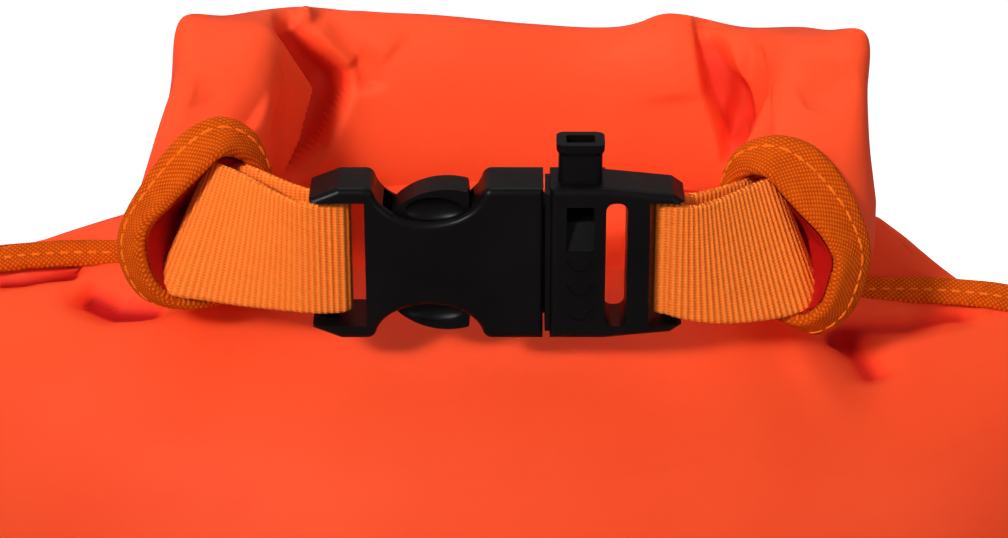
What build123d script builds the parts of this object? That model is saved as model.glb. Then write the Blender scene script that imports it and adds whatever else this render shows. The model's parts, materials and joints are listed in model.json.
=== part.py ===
"""Roll-top dry bag, rolled and clipped shut, with a 25 mm side-release whistle buckle.

Millimetres. +Z is up, the front of the bag faces -Y, and the origin is the centre of the
underside. The buckle is drawn in its own plane: x along the webbing, y up, z out of its face.
"""

from build123d import *
from math import cos, radians, sin
import os

os.makedirs("parts", exist_ok=True)

# ---------------------------------------------------------------- driving dimensions

FABRIC = 1.2  # coated fabric, taken a little thicker than real so that it stays solid
HALF_WIDTH = 140.0  # half of the filled bag, side to side
HALF_DEPTH = 72.5  # half of the filled bag, front to back
BASE_HALF_WIDTH = 134.5  # the walls' seam line on the base
BASE_HALF_DEPTH = 68.5
BASE_SEAM = 4.5  # the base panel runs this far out into its binding
SHOULDER_Z = 325.0  # where the sides start to close in
RIDGE_Z = 396.0  # ridge of the shoulders, where the two panels meet
TAPE_FIN = 10.0  # how far the bound side seams stand out
TAPE_THICK = 3.2  # folded binding tape with the seam inside it
BASE_FIN = 7.5  # how far the bound base seam stands out
BASE_FIN_START = 3.0  # where the base binding starts, from the walls' seam line
SIDE_TAPE_START_X = 86.0  # the side tapes start beside the roll
SIDE_TAPE_START_Z = 385.0
SIDE_TAPE_INNER_X = 120.0  # the tape's blank reaches in to here before the body is cut out of it
SEAM_CLEARANCE = 0.1  # air between pieces that are sewn together

ROLL_NECK_WIDTH = 112.0  # the doubled panels between the ridge and the roll
ROLL_NECK_DEPTH = 13.0
ROLL_NECK_HEIGHT = 12.0
ROLL_NECK_Y = 11.0
ROLL_SPLIT_Y = -16.0  # the two free ends of the roll are the parts in front of this plane
BODY_GAP = 0.3  # clearance on each side of a split between moving pieces
STIFFENER_THICK = 1.6
STIFFENER_HEIGHT = 18.0
STIFFENER_Z = 402.0

EAR_CENTRE = (61.5, -38.0, 409.0)  # middle of the right ear's face
EAR_HALF_WIDTH = 17.8  # outer half-axes of the curled, bound end of the roll
EAR_HALF_HEIGHT = 20.2
EAR_WALL = 3.8  # fabric and folded tape together
EAR_DEPTH = 11.0  # width of the binding tape
EAR_CAVITY = 14.0  # depth of the open curl
EAR_TURN = 20.6  # degrees that each ear faces inwards
EAR_EDGE_RADIUS = 1.4

WEB_WIDTH = 25.0
WEB_THICK = 1.5
WEB_CLEARANCE = 0.15  # between the webbing and the bar it goes round
TACK_PLACE = (60.5, 16.7)  # middle of the right bar tack, along and behind the buckle
TACK_SIZE = (3.0, 5.4)
TACK_HEIGHT = 18.0
TACK_TURN = 40.0  # degrees

BUCKLE_CENTRE = (0.0, -45.0, 406.0)
BUCKLE_LEAN = 8.0  # degrees that the buckle's top leans forward
BUCKLE_HALF_HEIGHT = 17.0
BUCKLE_HALF_THICK = 6.25
SLOT_HALF_HEIGHT = 13.9
BAR_HALF_THICK = 1.6
BAR_ROUND = 1.4

SOCKET_LEFT = -37.9  # x of the strap end of the socket
SOCKET_BAR_OUT = -36.7
SOCKET_BAR_IN = -32.4
SOCKET_SLOT_END = -26.7
NOTCH_X = -13.8  # middle of the finger notches
NOTCH_HALF_WIDTH = 11.2
NOTCH_FLOOR = 9.4  # half-height left at the bottom of each notch
SOCKET_MOUTH = 9.6
CAVITY_END = -24.4
CAVITY_HALF_HEIGHT = 12.7
CAVITY_HALF_THICK = 4.2

PLUG_SHOULDER = 11.0  # x where the visible part of the plug half starts
WHISTLE_END = 22.3  # right edge of the whistle block
PLUG_SLOT_END = 26.7
PLUG_BAR_END = 31.3
PLUG_SLOT2_END = 34.4
PLUG_BAR2_END = 37.6
PLUG_RIGHT = 38.4
PLUG_BACK = 4.2  # the strap end of the plug half is thinner at the back

PLUG_NECK_LENGTH = 1.5
PLUG_NECK_HALF_HEIGHT = 12.2
PLUG_NECK_HALF_THICK = 3.4
TONGUE_TIP = -17.5
TONGUE_HEIGHT = 4.4
BUCKLE_EDGE_RADIUS = 1.5
BAR_INTO_FRAME = 0.5  # how far each strap bar runs into the frame beside its slot

WHISTLE_X = 17.1  # centre line of the whistle
RIM_TOP = 25.5  # top of the whistle's mouthpiece above the buckle's centre line
RIM_HEIGHT = 1.6
FLARE_HEIGHT = 1.0
CRESCENTS_Y = (0.9, -4.7, -10.3)
CRESCENT_RADIUS = 2.8
LATCH_ROOT = 7.8  # x where each latch arm flexes
LATCH_ROOT_Y = 9.0
LATCH_ROOT_RADIUS = 1.4
PAD_START = -20.6  # outer latch pad, from here
PAD_END = -5.6  # to here

# ---------------------------------------------------------------- planes

LEAN = radians(BUCKLE_LEAN)
buckle_plane = Plane(origin=BUCKLE_CENTRE, x_dir=(1, 0, 0), z_dir=(0, -cos(LEAN), -sin(LEAN)))
# profiles seen from above the buckle: x along the webbing, y towards the back
strap_plane = Plane(origin=BUCKLE_CENTRE, x_dir=(1, 0, 0), z_dir=(0, -sin(LEAN), cos(LEAN)))
# profiles cut through the whistle, from the side: x up the buckle, y out of its face
whistle_side = Plane(
    origin=buckle_plane.from_local_coords((WHISTLE_X, 0, 0)),
    x_dir=(0, -sin(LEAN), cos(LEAN)),
    z_dir=(1, 0, 0),
)


def ear_plane(side):
    """The face of one ear: x across the curl, y up, z out of its open end."""
    turn = radians(EAR_TURN)
    x, y, z = EAR_CENTRE
    return Plane(
        origin=(side * x, y, z),
        x_dir=(cos(turn), -side * sin(turn), 0),
        z_dir=(-side * sin(turn), -cos(turn), 0),
    )


# ---------------------------------------------------------------- shared shapes

# z, half width and half depth of the filled bag at each level
body_levels = [
    (FABRIC, BASE_HALF_WIDTH, BASE_HALF_DEPTH),
    (6.0, 138.4, 71.4),
    (18.0, HALF_WIDTH, HALF_DEPTH),
    (110.0, HALF_WIDTH, HALF_DEPTH),
    (220.0, HALF_WIDTH, HALF_DEPTH),
    (300.0, HALF_WIDTH, HALF_DEPTH),
    (SHOULDER_Z, HALF_WIDTH, 71.0),
    (347.0, 139.4, 64.0),
    (366.0, 137.0, 52.0),
    (380.0, 131.0, 35.0),
    (390.0, 118.0, 16.0),
    (RIDGE_Z, 98.0, 8.0),
]

# x, y, z, heading in degrees, half thickness and half height along the right half of the roll
roll_stations = [
    (0.0, 17.5, 420.0, 0.0, 8.5, 20.0),
    (20.0, 17.5, 420.0, 0.0, 8.5, 20.0),
    (38.0, 16.8, 420.0, -8.0, 8.6, 20.2),
    (53.0, 13.0, 419.3, -25.0, 9.4, 20.4),
    (65.0, 4.0, 417.4, -50.0, 10.8, 20.6),
    (70.8, -9.0, 414.5, -82.0, 12.6, 20.6),
    (68.0, -24.0, 411.3, -103.0, 15.0, 20.2),
    (61.5, -38.0, 409.0, -110.6, 17.0, 19.6),
]


def body_solid(inset):
    """The closed body as one solid, shrunk by inset on every side but its cut bottom."""
    with BuildPart(mode=Mode.PRIVATE) as solid:
        for z, half_x, half_y in body_levels:
            level = z - (inset if z == RIDGE_Z else 0)
            with BuildSketch(Plane.XY.offset(level)):
                Ellipse(half_x - inset, half_y - inset)
        loft()
    return solid.part


def roll_solid():
    """The closed roll with its two arms, from ear to ear, a C seen from above."""
    mirrored = [(-x, y, z, -heading, thick, high) for x, y, z, heading, thick, high in roll_stations]
    with BuildPart(mode=Mode.PRIVATE) as solid:
        for x, y, z, heading, half_thick, half_height in mirrored[:0:-1] + roll_stations:
            turn = radians(heading)
            station = Plane(
                origin=(x, y, z),
                x_dir=(sin(turn), -cos(turn), 0),
                z_dir=(cos(turn), sin(turn), 0),
            )
            with BuildSketch(station):
                Ellipse(half_thick, half_height)
        loft()
    return solid.part


def ear_opening(side, start, length):
    """The hollow of one curl with its open lower inner side."""
    plane = ear_plane(side).offset(-start)
    with BuildPart(mode=Mode.PRIVATE) as hollow:
        with BuildSketch(plane):
            Ellipse(EAR_HALF_WIDTH - EAR_WALL, EAR_HALF_HEIGHT - EAR_WALL)
            with BuildLine():
                Polyline(
                    (0, 0),
                    (side * 30, 11),
                    (side * 30, -30),
                    (side * -4, -30),
                    close=True,
                )
            make_face()
        extrude(amount=-length)
    return hollow.part


body_outer = body_solid(0)
body_inner = body_solid(FABRIC)
body_clear = body_solid(-SEAM_CLEARANCE)
roll_closed = roll_solid()

# everything in front of, and everything behind, the plane that splits the roll
SPLIT_BLOCK = 400.0
split_offset = BODY_GAP + SPLIT_BLOCK / 2
front_region = Pos(0, ROLL_SPLIT_Y - split_offset, SPLIT_BLOCK) * Box(*[SPLIT_BLOCK] * 3)
rear_region = Pos(0, ROLL_SPLIT_Y + split_offset, SPLIT_BLOCK) * Box(*[SPLIT_BLOCK] * 3)

# ---------------------------------------------------------------- bag body

with BuildPart() as base_panel:
    with BuildSketch():
        Ellipse(BASE_HALF_WIDTH + BASE_SEAM, BASE_HALF_DEPTH + BASE_SEAM)
    extrude(amount=FABRIC)

with BuildPart() as base_binding:
    with BuildSketch():
        Ellipse(BASE_HALF_WIDTH + BASE_FIN, BASE_HALF_DEPTH + BASE_FIN)
        Ellipse(BASE_HALF_WIDTH + BASE_FIN_START, BASE_HALF_DEPTH + BASE_FIN_START, mode=Mode.SUBTRACT)
    extrude(amount=TAPE_THICK)
    top_rims = base_binding.edges().group_by(Axis.Z)[-1]
    fillet(top_rims.sort_by(SortBy.LENGTH)[-1], 1.2)
    add(base_panel.part, mode=Mode.SUBTRACT)

shell = body_outer - body_inner

with BuildPart() as front_panel:
    add(shell)
    split(bisect_by=Plane.XZ.offset(SEAM_CLEARANCE / 2), keep=Keep.TOP)

with BuildPart() as back_panel:
    add(shell)
    split(bisect_by=Plane.XZ.offset(-SEAM_CLEARANCE / 2), keep=Keep.BOTTOM)


def side_binding(side):
    """Folded tape over the side seam, from the roll over the shoulder down to the base."""
    fin_x = side * (HALF_WIDTH + TAPE_FIN)
    foot_x = side * (BASE_HALF_WIDTH + BASE_FIN)
    inner_x = side * SIDE_TAPE_INNER_X
    start_x = side * SIDE_TAPE_START_X
    with BuildPart() as binding:
        with BuildSketch(Plane.XZ.offset(-TAPE_THICK / 2)):
            with BuildLine():
                Spline(
                    (start_x, RIDGE_Z + 4.5),
                    (side * 106.0, 399.0),
                    (side * 128.0, 392.0),
                    (side * 143.0, 378.0),
                    (side * 149.0, 357.0),
                    (fin_x, SHOULDER_Z),
                    tangents=((side, -0.05), (0, -1)),
                )
                Polyline(
                    (fin_x, SHOULDER_Z),
                    (fin_x, TAPE_THICK + 12),
                    (foot_x, TAPE_THICK),
                    (inner_x, TAPE_THICK),
                    (inner_x, 370.0),
                    (start_x, SIDE_TAPE_START_Z),
                    (start_x, RIDGE_Z + 4.5),
                )
            make_face()
        extrude(amount=TAPE_THICK)
        add(body_clear, mode=Mode.SUBTRACT)
        add(base_binding.part, mode=Mode.SUBTRACT)
    outside = binding.solids().sort_by(Axis.X)
    return outside[-1] if side > 0 else outside[0]


side_binding_left = side_binding(-1)
side_binding_right = side_binding(1)

# ---------------------------------------------------------------- webbing


def web_loop(side, bar_in, bar_out):
    """One doubled length of webbing: round the buckle bar and back into the ear."""
    bend = BAR_HALF_THICK + WEB_THICK / 2 + WEB_CLEARANCE
    start = abs(bar_in) + BAR_HALF_THICK
    nose = abs(bar_in) - WEB_THICK / 2 - WEB_CLEARANCE
    with BuildPart() as web:
        with BuildSketch(strap_plane.offset(-WEB_WIDTH / 2)):
            with BuildLine():
                Spline(
                    (side * 65.0, 18.5),
                    (side * 54.0, 9.5),
                    (side * 45.5, 1.6),
                    (side * abs(bar_out), -bend),
                    (side * start, -bend),
                    tangents=((-side, -0.8), (-side, 0)),
                )
                ThreePointArc((side * start, -bend), (side * nose, 0), (side * start, bend))
                Spline(
                    (side * start, bend),
                    (side * abs(bar_out), bend),
                    (side * 48.0, 8.5),
                    (side * 56.0, 15.5),
                    (side * 64.0, 21.7),
                    tangents=((side, 0), (side, 0.8)),
                )
            trace(line_width=WEB_THICK)
        extrude(amount=WEB_WIDTH)
    return web.part


webbing_left = web_loop(-1, SOCKET_BAR_IN, SOCKET_BAR_OUT)
webbing_right = web_loop(1, PLUG_SLOT2_END, PLUG_BAR2_END)


def bar_tack(side, webbing):
    """The dense stitching that closes the webbing loop inside the ear."""
    with BuildPart() as tack:
        with BuildSketch(strap_plane.offset(-TACK_HEIGHT / 2)):
            with Locations((side * TACK_PLACE[0], TACK_PLACE[1])):
                Rectangle(*TACK_SIZE, rotation=side * TACK_TURN)
        extrude(amount=TACK_HEIGHT)
        add(webbing, mode=Mode.SUBTRACT)
    return tack.part


bar_tack_left = bar_tack(-1, webbing_left)
bar_tack_right = bar_tack(1, webbing_right)

# ---------------------------------------------------------------- roll and its stiffener

with BuildPart() as stiffener_strip:
    with BuildSketch(Plane.XY.offset(STIFFENER_Z)):
        with BuildLine():
            Spline(
                (-65.0, -27.0),
                (-69.0, -8.0),
                (-58.0, 11.0),
                (-34.0, 17.5),
                (0.0, 17.5),
                (34.0, 17.5),
                (58.0, 11.0),
                (69.0, -8.0),
                (65.0, -27.0),
            )
        trace(line_width=STIFFENER_THICK)
    extrude(amount=STIFFENER_HEIGHT)

stiffener_middle = stiffener_strip.part & rear_region
stiffener_ends = stiffener_strip.part & front_region
roll_ends = roll_closed & front_region

with BuildPart() as roll_middle:
    add(roll_closed)
    add(rear_region, mode=Mode.INTERSECT)
    # the underside lies flat on the ridge
    with Locations((0, 0, RIDGE_Z + SPLIT_BLOCK / 2)):
        Box(SPLIT_BLOCK, SPLIT_BLOCK, SPLIT_BLOCK, mode=Mode.INTERSECT)
    with Locations((0, ROLL_NECK_Y, RIDGE_Z + ROLL_NECK_HEIGHT / 2)):
        Box(ROLL_NECK_WIDTH, ROLL_NECK_DEPTH, ROLL_NECK_HEIGHT)
    add(stiffener_middle, mode=Mode.SUBTRACT)


def side_piece(pieces, side):
    """The part of a left and right pair that lies on one side."""
    ordered = pieces.solids().sort_by(Axis.X)
    return ordered[-1] if side > 0 else ordered[0]


def ear_binding(side):
    """Folded tape over the curled edge of the bag's mouth, a C seen end on."""
    with BuildPart() as binding:
        with BuildSketch(ear_plane(side)):
            Ellipse(EAR_HALF_WIDTH, EAR_HALF_HEIGHT)
        extrude(amount=-EAR_DEPTH)
        fillet(binding.edges().filter_by(GeomType.ELLIPSE), EAR_EDGE_RADIUS)
        add(ear_opening(side, -1, EAR_DEPTH + 2), mode=Mode.SUBTRACT)
    return binding.part


def roll_end(side, stiffener, webbing, tack):
    """The free end of the roll behind the ear, with the open curl in it."""
    front_part = ear_plane(side).offset(-EAR_DEPTH / 2)
    cleared = front_part.location * Pos(0, 0, 15) * Box(80, 80, 30 + EAR_DEPTH)
    with BuildPart() as end:
        add(side_piece(roll_ends, side))
        add(cleared, mode=Mode.SUBTRACT)
        add(ear_opening(side, EAR_DEPTH - 1, EAR_CAVITY - EAR_DEPTH + 1), mode=Mode.SUBTRACT)
        add(stiffener, mode=Mode.SUBTRACT)
        add(webbing, mode=Mode.SUBTRACT)
        add(tack, mode=Mode.SUBTRACT)
    return end.solids().sort_by(SortBy.VOLUME)[-1]


stiffener_left = side_piece(stiffener_ends, -1) - webbing_left - bar_tack_left
stiffener_right = side_piece(stiffener_ends, 1) - webbing_right - bar_tack_right
ear_binding_left = ear_binding(-1) - webbing_left
ear_binding_right = ear_binding(1) - webbing_right
roll_end_left = roll_end(-1, stiffener_left, webbing_left, bar_tack_left)
roll_end_right = roll_end(1, stiffener_right, webbing_right, bar_tack_right)

# ---------------------------------------------------------------- buckle, socket half

with BuildPart() as buckle_socket:
    with BuildSketch(buckle_plane) as socket_outline:
        with BuildLine():
            Line((SOCKET_LEFT, 0), (SOCKET_LEFT, 14.6))
            Line((SOCKET_LEFT, 14.6), (-32.0, BUCKLE_HALF_HEIGHT))
            Line((-32.0, BUCKLE_HALF_HEIGHT), (SOCKET_MOUTH, BUCKLE_HALF_HEIGHT))
            Line((SOCKET_MOUTH, BUCKLE_HALF_HEIGHT), (SOCKET_MOUTH, 0))
            mirror(about=Plane.XZ)
        make_face()
        with Locations((NOTCH_X, BUCKLE_HALF_HEIGHT), (NOTCH_X, -BUCKLE_HALF_HEIGHT)):
            Ellipse(NOTCH_HALF_WIDTH, BUCKLE_HALF_HEIGHT - NOTCH_FLOOR, mode=Mode.SUBTRACT)
        fillet(socket_outline.vertices().filter_by_position(Axis.X, -30, 0), 2.0)
    extrude(amount=BUCKLE_HALF_THICK, both=True)
    socket_faces = buckle_socket.faces().filter_by(buckle_plane)
    fillet(socket_faces.edges(), BUCKLE_EDGE_RADIUS)
    with BuildSketch(buckle_plane):
        with Locations((SOCKET_SLOT_END - 10, 0)):
            Rectangle(20, 2 * SLOT_HALF_HEIGHT)
    extrude(amount=BUCKLE_HALF_THICK, both=True, mode=Mode.SUBTRACT)
    with BuildSketch(strap_plane):
        with Locations(((SOCKET_BAR_IN + SOCKET_BAR_OUT) / 2, 0)):
            RectangleRounded(SOCKET_BAR_IN - SOCKET_BAR_OUT, 2 * BAR_HALF_THICK, BAR_ROUND)
    extrude(amount=SLOT_HALF_HEIGHT + BAR_INTO_FRAME, both=True)
    with BuildSketch(buckle_plane):
        with Locations(((SOCKET_MOUTH + CAVITY_END) / 2, 0)):
            Rectangle(SOCKET_MOUTH - CAVITY_END, 2 * CAVITY_HALF_HEIGHT)
    extrude(amount=CAVITY_HALF_THICK, both=True, mode=Mode.SUBTRACT)

# ---------------------------------------------------------------- buckle, plug half with whistle

with BuildPart() as whistle_plug:
    with BuildSketch(buckle_plane) as plug_outline:
        with BuildLine():
            Line((PLUG_SHOULDER, 0), (PLUG_SHOULDER, BUCKLE_HALF_HEIGHT))
            Line((PLUG_SHOULDER, BUCKLE_HALF_HEIGHT), (WHISTLE_END, BUCKLE_HALF_HEIGHT))
            Line((WHISTLE_END, BUCKLE_HALF_HEIGHT), (PLUG_RIGHT - 2.5, 15.6))
            Line((PLUG_RIGHT - 2.5, 15.6), (PLUG_RIGHT, 13.8))
            Line((PLUG_RIGHT, 13.8), (PLUG_RIGHT, 0))
            mirror(about=Plane.XZ)
        make_face()
    extrude(amount=BUCKLE_HALF_THICK, both=True)
    plug_faces = whistle_plug.faces().filter_by(buckle_plane)
    fillet(plug_faces.edges(), BUCKLE_EDGE_RADIUS)
    # the strap end is thinner at the back
    with BuildSketch(buckle_plane.offset(-BUCKLE_HALF_THICK)):
        with Locations((WHISTLE_END + 10, 0)):
            Rectangle(20, 40)
    extrude(amount=BUCKLE_HALF_THICK - PLUG_BACK, mode=Mode.SUBTRACT)
    # two strap slots and the open space outside the last bar
    with BuildSketch(buckle_plane):
        with Locations(((WHISTLE_END + PLUG_SLOT_END) / 2, 0)):
            RectangleRounded(PLUG_SLOT_END - WHISTLE_END, 2 * SLOT_HALF_HEIGHT, 1.8)
        with Locations((PLUG_BAR_END + 5, 0)):
            Rectangle(10, 2 * SLOT_HALF_HEIGHT)
    extrude(amount=2 * BUCKLE_HALF_THICK, both=True, mode=Mode.SUBTRACT)
    with BuildSketch(strap_plane):
        with Locations(((PLUG_SLOT2_END + PLUG_BAR2_END) / 2, 0)):
            RectangleRounded(PLUG_BAR2_END - PLUG_SLOT2_END, 2 * BAR_HALF_THICK, BAR_ROUND)
    extrude(amount=SLOT_HALF_HEIGHT + BAR_INTO_FRAME, both=True)
    # collar in the gap between the halves, neck, and guide tongue inside the socket
    with BuildSketch(buckle_plane):
        with Locations((PLUG_SHOULDER - 0.5, 0)):
            Rectangle(1.0, 2 * (BUCKLE_HALF_HEIGHT - BUCKLE_EDGE_RADIUS))
    extrude(amount=BUCKLE_HALF_THICK - 1.1, both=True)
    with BuildSketch(buckle_plane):
        with Locations((PLUG_SHOULDER - PLUG_NECK_LENGTH / 2, 0)):
            Rectangle(PLUG_NECK_LENGTH, 2 * PLUG_NECK_HALF_HEIGHT)
        with Locations(((PLUG_SHOULDER + TONGUE_TIP) / 2, 0)):
            Rectangle(PLUG_SHOULDER - TONGUE_TIP, TONGUE_HEIGHT)
    extrude(amount=PLUG_NECK_HALF_THICK, both=True)
    # whistle column and its flared mouthpiece
    with BuildSketch(strap_plane.offset(BUCKLE_HALF_HEIGHT - 2)):
        with Locations((WHISTLE_X, 0)):
            RectangleRounded(9.0, 7.6, 2.0)
    with BuildSketch(strap_plane.offset(RIM_TOP - RIM_HEIGHT - FLARE_HEIGHT)):
        with Locations((WHISTLE_X, 0)):
            RectangleRounded(8.8, 6.4, 1.8)
    loft()
    with BuildSketch(strap_plane.offset(RIM_TOP - RIM_HEIGHT - FLARE_HEIGHT)):
        with Locations((WHISTLE_X, 0)):
            RectangleRounded(8.8, 6.4, 1.8)
    with BuildSketch(strap_plane.offset(RIM_TOP - RIM_HEIGHT)):
        with Locations((WHISTLE_X, 0)):
            RectangleRounded(9.8, 7.3, 1.8)
    loft()
    with BuildSketch(strap_plane.offset(RIM_TOP - RIM_HEIGHT)):
        with Locations((WHISTLE_X, 0)):
            RectangleRounded(9.8, 7.3, 1.8)
    extrude(amount=RIM_HEIGHT)
    # air duct, then the window with its deep slot and its ramp
    with BuildSketch(strap_plane.offset(RIM_TOP)):
        with Locations((WHISTLE_X, 0)):
            RectangleRounded(5.8, 3.8, 0.5)
    extrude(amount=-(RIM_TOP - 10.0), mode=Mode.SUBTRACT)
    with BuildSketch(whistle_side):
        with BuildLine():
            Polyline(
                (13.0, BUCKLE_HALF_THICK + 1),
                (13.0, -2.0),
                (9.4, -2.0),
                (8.4, 3.0),
                (3.0, BUCKLE_HALF_THICK - 0.4),
                (3.0, BUCKLE_HALF_THICK + 1),
                close=True,
            )
        make_face()
    extrude(amount=2.8, both=True, mode=Mode.SUBTRACT)
    # three raised crescents under the window
    for arc_y in CRESCENTS_Y:
        with BuildSketch(buckle_plane.offset(BUCKLE_HALF_THICK)):
            with Locations((WHISTLE_X, arc_y)):
                Circle(CRESCENT_RADIUS)
                Circle(CRESCENT_RADIUS - 0.6, mode=Mode.SUBTRACT)
            with Locations((WHISTLE_X, arc_y + 2)):
                Rectangle(8, 4, mode=Mode.SUBTRACT)
        extrude(amount=0.25)


def latch_arm(direction):
    """One flexing arm with its finger pad; direction is +1 for the upper one."""
    root = direction * LATCH_ROOT_Y
    root_out = root + direction * LATCH_ROOT_RADIUS
    root_in = root - direction * LATCH_ROOT_RADIUS
    # oval thumb dish in the front face of the pad
    dish = scale(Sphere(1.0), by=(6.4, 3.0, 2.2))
    dish_place = buckle_plane.location * Pos(NOTCH_X + 1.2, direction * 11.4, 4.6)
    with BuildPart() as arm:
        with BuildSketch(buckle_plane) as arm_outline:
            with BuildLine():
                ThreePointArc(
                    (LATCH_ROOT, root_out),
                    (LATCH_ROOT + LATCH_ROOT_RADIUS, root),
                    (LATCH_ROOT, root_in),
                )
                Line((LATCH_ROOT, root_in), (-3.0, direction * 8.2))
                ThreePointArc(
                    (-3.0, direction * 8.2),
                    (-12.0, direction * 6.9),
                    (PAD_START, direction * 8.0),
                )
                Line((PAD_START, direction * 8.0), (PAD_START - 0.8, direction * 10.6))
                ThreePointArc(
                    (PAD_START - 0.8, direction * 10.6),
                    (-13.2, direction * 15.5),
                    (PAD_END, direction * 15.2),
                )
                Line((PAD_END, direction * 15.2), (PAD_END + 0.3, direction * 11.2))
                Line((PAD_END + 0.3, direction * 11.2), (LATCH_ROOT, root_out))
            make_face()
            fillet(arm_outline.vertices().filter_by_position(Axis.X, -24, -3.2), 0.6)
        extrude(amount=3.7, both=True)
        add(dish_place * dish, mode=Mode.SUBTRACT)
    return arm.part


latch_arm_upper = latch_arm(1)
latch_arm_lower = latch_arm(-1)

# ---------------------------------------------------------------- labels and export

pieces = {
    "front_panel": front_panel.part,
    "back_panel": back_panel.part,
    "base_panel": base_panel.part,
    "base_binding": base_binding.part,
    "side_binding_left": side_binding_left,
    "side_binding_right": side_binding_right,
    "roll_middle": roll_middle.part,
    "roll_end_left": roll_end_left,
    "roll_end_right": roll_end_right,
    "stiffener_middle": stiffener_middle,
    "stiffener_left": stiffener_left,
    "stiffener_right": stiffener_right,
    "ear_binding_left": ear_binding_left,
    "ear_binding_right": ear_binding_right,
    "webbing_left": webbing_left,
    "webbing_right": webbing_right,
    "bar_tack_left": bar_tack_left,
    "bar_tack_right": bar_tack_right,
    "buckle_socket": buckle_socket.part,
    "whistle_plug": whistle_plug.part,
    "latch_arm_upper": latch_arm_upper,
    "latch_arm_lower": latch_arm_lower,
}

for name, piece in pieces.items():
    piece.label = name
    export_step(piece, f"parts/{name}.step")
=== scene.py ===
"""Looks of the roll-top dry bag: coated fabric, binding tape, webbing, stitching and a black buckle.

Lengths are in millimetres and are turned into metres where meshes are made; lights are in metres.
The camera looks at the buckle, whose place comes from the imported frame. The places of the soft
pieces are listed here, and they lie where their solids are.
"""

import json
from math import cos, pi, radians, sin

import bmesh
import bpy
import numpy as np
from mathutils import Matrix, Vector


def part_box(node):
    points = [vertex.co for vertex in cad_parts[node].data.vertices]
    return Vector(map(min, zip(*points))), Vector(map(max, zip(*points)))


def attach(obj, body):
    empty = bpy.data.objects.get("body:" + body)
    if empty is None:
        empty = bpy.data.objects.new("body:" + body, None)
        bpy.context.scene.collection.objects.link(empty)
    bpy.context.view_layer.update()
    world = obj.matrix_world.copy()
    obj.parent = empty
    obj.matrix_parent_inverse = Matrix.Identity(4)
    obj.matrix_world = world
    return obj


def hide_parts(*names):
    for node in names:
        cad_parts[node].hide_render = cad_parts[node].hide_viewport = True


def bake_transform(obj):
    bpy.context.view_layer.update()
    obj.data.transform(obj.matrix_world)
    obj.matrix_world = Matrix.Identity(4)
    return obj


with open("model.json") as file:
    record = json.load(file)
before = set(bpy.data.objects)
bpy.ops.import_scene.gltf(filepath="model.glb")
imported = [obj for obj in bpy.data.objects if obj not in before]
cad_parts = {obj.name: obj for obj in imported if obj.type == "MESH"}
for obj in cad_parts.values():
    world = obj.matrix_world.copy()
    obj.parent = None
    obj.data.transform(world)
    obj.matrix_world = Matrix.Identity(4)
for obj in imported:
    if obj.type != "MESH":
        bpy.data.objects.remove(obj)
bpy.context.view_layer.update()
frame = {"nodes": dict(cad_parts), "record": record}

METRE = 1000.0  # millimetres in a metre


# ------------------------------------------------------------------ the buckle's place, from the frame


def node_box(name):
    """A node's lowest and highest corners in millimetres."""
    low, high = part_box(name)
    return np.array(low) * METRE, np.array(high) * METRE


socket_low, socket_high = node_box("buckle_socket")
BUCKLE = Vector((0.0, (socket_low[1] + socket_high[1]) / 2, (socket_low[2] + socket_high[2]) / 2))


# ------------------------------------------------------------------ camera, floor and light

CAMERA_HEIGHT = radians(18.0)
CAMERA_LENS = 100.0
CAMERA_DISTANCE = 577.0
CAMERA_ASIDE = 1.6  # the buckle sits a little left of and above the picture's centre
CAMERA_LOWER = 3.4

WORLD_STRENGTH = 0.26
FLOOR_REACH = 12.0  # metres
FLOOR_GLOW = 0.85
LIGHTS = [
    # name, place and aim in metres, size in metres, watts, and spread in degrees
    ("key", (-0.75, -1.15, 1.2), (-0.03, 0, 0.495), (0.4, 0.4), 0.48, 15.0),
    ("fill", (1.2, -1.3, 0.85), (0, 0, 0.42), (0.8, 0.8), 4.2, 180.0),
    ("top", (-0.1, 0.25, 1.5), (0, 0, 0.4), (0.7, 0.5), 2.8, 180.0),
]


def make_camera():
    data = bpy.data.cameras.new("camera")
    data.lens = CAMERA_LENS
    data.sensor_width = 36.0
    data.clip_start = 0.01
    camera = bpy.data.objects.new("camera", data)
    bpy.context.collection.objects.link(camera)
    look = Vector((0, cos(CAMERA_HEIGHT), -sin(CAMERA_HEIGHT)))
    up = Vector((0, sin(CAMERA_HEIGHT), cos(CAMERA_HEIGHT)))
    place = BUCKLE - look * CAMERA_DISTANCE + Vector((CAMERA_ASIDE, 0, 0)) - up * CAMERA_LOWER
    camera.location = place / METRE
    camera.rotation_euler = (pi / 2 - CAMERA_HEIGHT, 0, 0)
    bpy.context.scene.camera = camera


def area_light(name, place, aim, size, watts, spread):
    data = bpy.data.lights.new(name, "AREA")
    data.shape = "RECTANGLE"
    data.size, data.size_y = size
    data.energy = watts
    data.spread = radians(spread)
    light = bpy.data.objects.new(name, data)
    bpy.context.collection.objects.link(light)
    light.location = place
    direction = Vector(aim) - Vector(place)
    light.rotation_euler = direction.to_track_quat("-Z", "Y").to_euler()


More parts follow.
